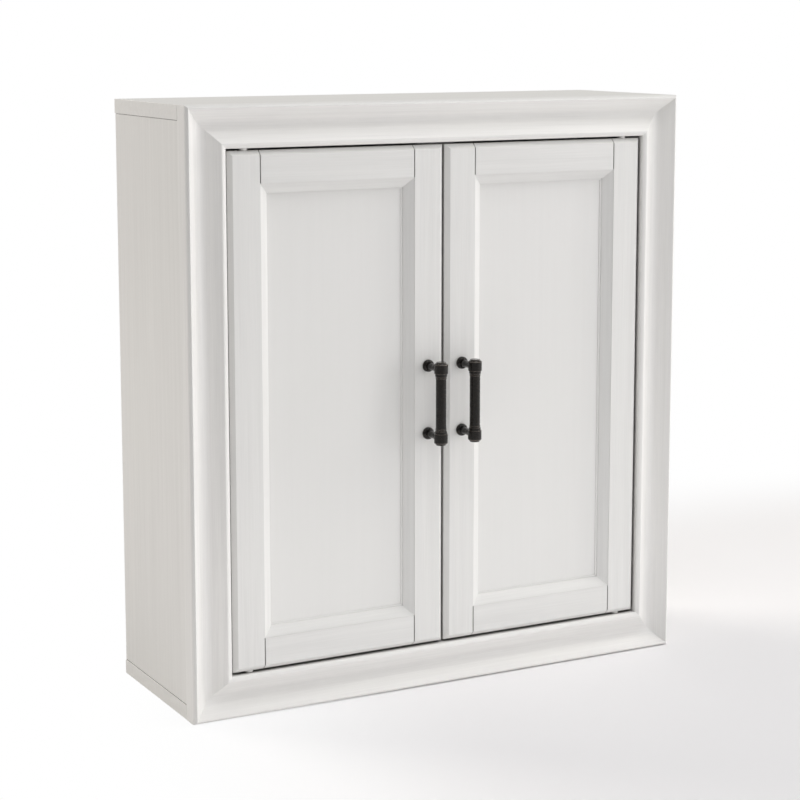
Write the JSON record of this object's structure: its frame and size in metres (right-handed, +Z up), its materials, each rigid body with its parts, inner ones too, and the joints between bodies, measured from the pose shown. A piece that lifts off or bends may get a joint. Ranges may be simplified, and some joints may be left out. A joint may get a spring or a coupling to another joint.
{
  "type": "hanging wall cabinet",
  "caption": "Hanging wall cabinet with inset frame-and-panel doors on pivot pins, a mitred cove-moulded front frame, bar pulls and an adjustable shelf.",
  "frame": {"origin": "on the wall plane, midway between the two upper wall screws", "axes": "+X to the right as seen from the front, +Y into the wall, +Z up; the doors face -Y"},
  "size_m": [0.615, 0.2406, 0.66],
  "materials": {
    "carcass_paint": "satin white paint over board",
    "frame_paint": "satin white paint over moulded wood",
    "door_paint": "satin white paint over wood, faint grain",
    "inside_paint": "white laminate",
    "hardboard": "white-faced hardboard",
    "beech": "bare fluted beech",
    "bronze": "dark oil-rubbed bronze over a zinc casting",
    "zinc_steel": "bright zinc plate",
    "zinc_casting": "cast zinc",
    "magnet": "ground ferrite",
    "white_plastic": "moulded white plastic"
  },
  "bodies": {
    "carcass": {"back_nails": "zinc_steel", "back_panel": "hardboard", "board_dowels": "beech", "bottom_board": "carcass_paint", "bottom_frame_member": "frame_paint", "cam_bolts": "zinc_steel", "cam_locks": "zinc_casting", "catch_housing": "white_plastic", "catch_magnets": "magnet", "catch_screws": "zinc_steel", "frame_corner_keys": "beech", "frame_dowels": "beech", "left_frame_member": "frame_paint", "left_side_panel": "carcass_paint", "lower_hanging_rail": "inside_paint", "pivot_pins": "zinc_steel", "rail_dowels": "beech", "right_frame_member": "frame_paint", "right_side_panel": "carcass_paint", "shelf": "inside_paint", "shelf_pegs": "zinc_steel", "top_board": "carcass_paint", "top_frame_member": "frame_paint", "upper_hanging_rail": "inside_paint"},
    "left_door": {"left_door_bottom_rail": "door_paint", "left_door_hinge_stile": "door_paint", "left_door_meeting_stile": "door_paint", "left_door_panel": "door_paint", "left_door_top_rail": "door_paint", "left_pivot_bushes": "white_plastic", "left_pull_bar": "bronze", "left_pull_end_caps": "bronze", "left_pull_posts": "bronze", "left_pull_rosettes": "bronze", "left_pull_screws": "zinc_steel", "left_strike_plate": "zinc_steel", "left_strike_screw": "zinc_steel"},
    "right_door": {"right_door_bottom_rail": "door_paint", "right_door_hinge_stile": "door_paint", "right_door_meeting_stile": "door_paint", "right_door_panel": "door_paint", "right_door_top_rail": "door_paint", "right_pivot_bushes": "white_plastic", "right_pull_bar": "bronze", "right_pull_end_caps": "bronze", "right_pull_posts": "bronze", "right_pull_rosettes": "bronze", "right_pull_screws": "zinc_steel", "right_strike_plate": "zinc_steel", "right_strike_screw": "zinc_steel"}
  },
  "joints": [
    {"name": "left_door_hinge", "type": "hinge", "parent": "carcass", "child": "left_door", "pos_m": [-0.238, -0.1935, 0], "axis": [0, 0, -1], "range_deg": [0, 110]},
    {"name": "right_door_hinge", "type": "hinge", "parent": "carcass", "child": "right_door", "pos_m": [0.238, -0.1935, 0], "axis": [0, 0, 1], "range_deg": [0, 110]}
  ]
}
